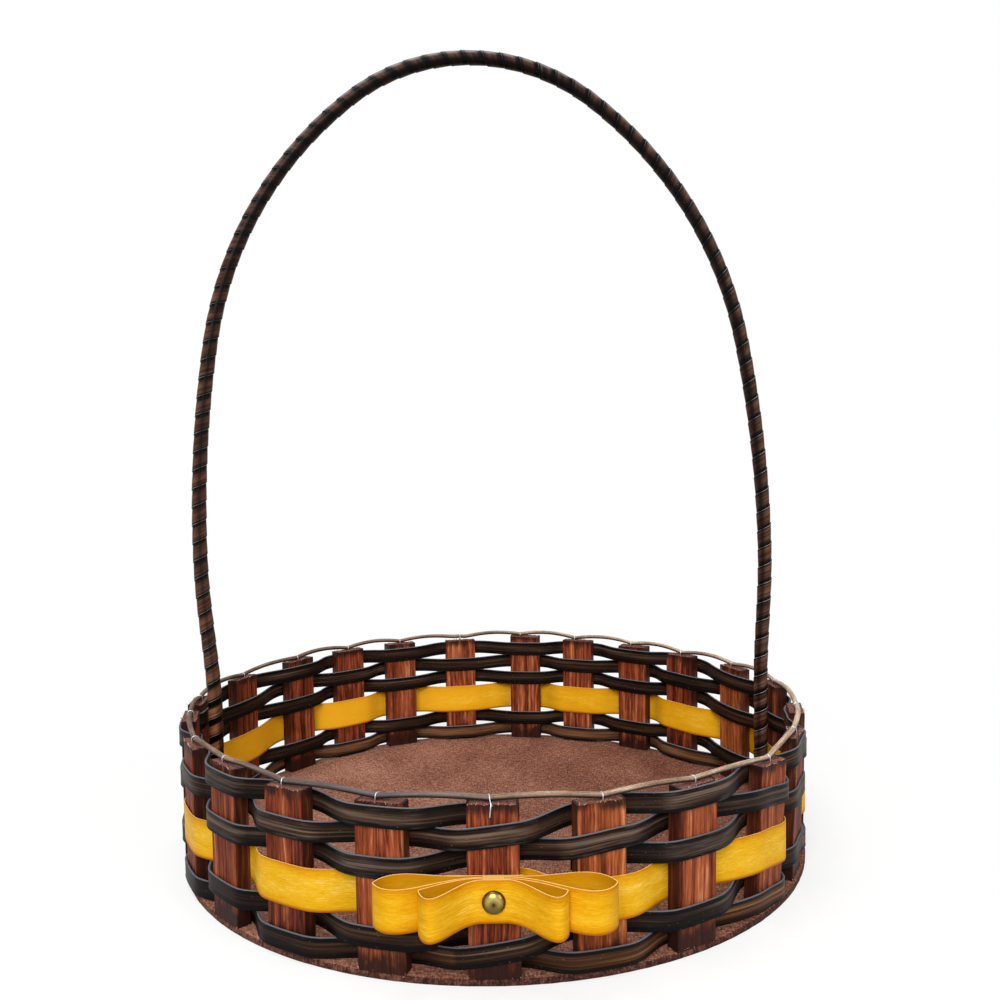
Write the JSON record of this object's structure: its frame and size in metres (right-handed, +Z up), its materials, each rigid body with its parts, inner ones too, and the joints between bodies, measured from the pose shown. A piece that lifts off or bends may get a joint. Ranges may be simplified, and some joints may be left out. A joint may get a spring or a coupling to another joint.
{
  "type": "woven basket",
  "caption": "Round shallow woven tray basket of upright slats and flat strips on a board, with a tall wrapped arch handle and a bow tacked to its front.",
  "frame": {"origin": "centre of the board's underside, which is the plane that the basket stands on", "axes": "+Z up; the bow and its tack are on the -Y side; the handle's arch spans X"},
  "size_m": [0.3534, 0.3733, 0.448],
  "materials": {
    "hardboard": "brown hardboard, matt",
    "stained_pine": "rough sawn, reddish brown stain",
    "dark_strip": "flat strip, satin, dark brown",
    "yellow_strip": "flat strip, satin, yellow with fine lengthwise lines",
    "rim_cord": "thin round cane, matt, brown stain worn on top",
    "handle_rod": "round cane rod, hidden under the wrap",
    "steel_wire": "galvanised",
    "brass": "bright"
  },
  "bodies": {
    "root": {"base_board": "hardboard", "stake_01": "stained_pine", "stake_02": "stained_pine", "stake_03": "stained_pine", "stake_04": "stained_pine", "stake_05": "stained_pine", "stake_06": "stained_pine", "stake_07": "stained_pine", "stake_08": "stained_pine", "stake_09": "stained_pine", "stake_10": "stained_pine", "stake_11": "stained_pine", "stake_12": "stained_pine", "stake_13": "stained_pine", "stake_14": "stained_pine", "stake_15": "stained_pine", "stake_16": "stained_pine", "stake_17": "stained_pine", "stake_18": "stained_pine", "stake_19": "stained_pine", "stake_20": "stained_pine", "stake_21": "stained_pine", "stake_22": "stained_pine", "stake_23": "stained_pine", "upper_weaver": "dark_strip", "lower_weaver": "dark_strip", "yellow_band": "yellow_strip", "rim_cord": "rim_cord", "rim_staple_01": "steel_wire", "rim_staple_02": "steel_wire", "rim_staple_03": "steel_wire", "rim_staple_04": "steel_wire", "rim_staple_05": "steel_wire", "rim_staple_06": "steel_wire", "rim_staple_07": "steel_wire", "rim_staple_08": "steel_wire", "rim_staple_09": "steel_wire", "rim_staple_10": "steel_wire", "rim_staple_11": "steel_wire", "rim_staple_12": "steel_wire", "rim_staple_13": "steel_wire", "rim_staple_14": "steel_wire", "rim_staple_15": "steel_wire", "rim_staple_16": "steel_wire", "rim_staple_17": "steel_wire", "rim_staple_18": "steel_wire", "rim_staple_19": "steel_wire", "rim_staple_20": "steel_wire", "rim_staple_21": "steel_wire", "rim_staple_22": "steel_wire", "rim_staple_23": "steel_wire", "handle_core": "handle_rod", "handle_wrap": "dark_strip", "handle_nail_left": "steel_wire", "handle_nail_right": "steel_wire", "bow_large_loop": "yellow_strip", "bow_small_loop": "yellow_strip", "bow_tack": "brass"}
  },
  "joints": []
}
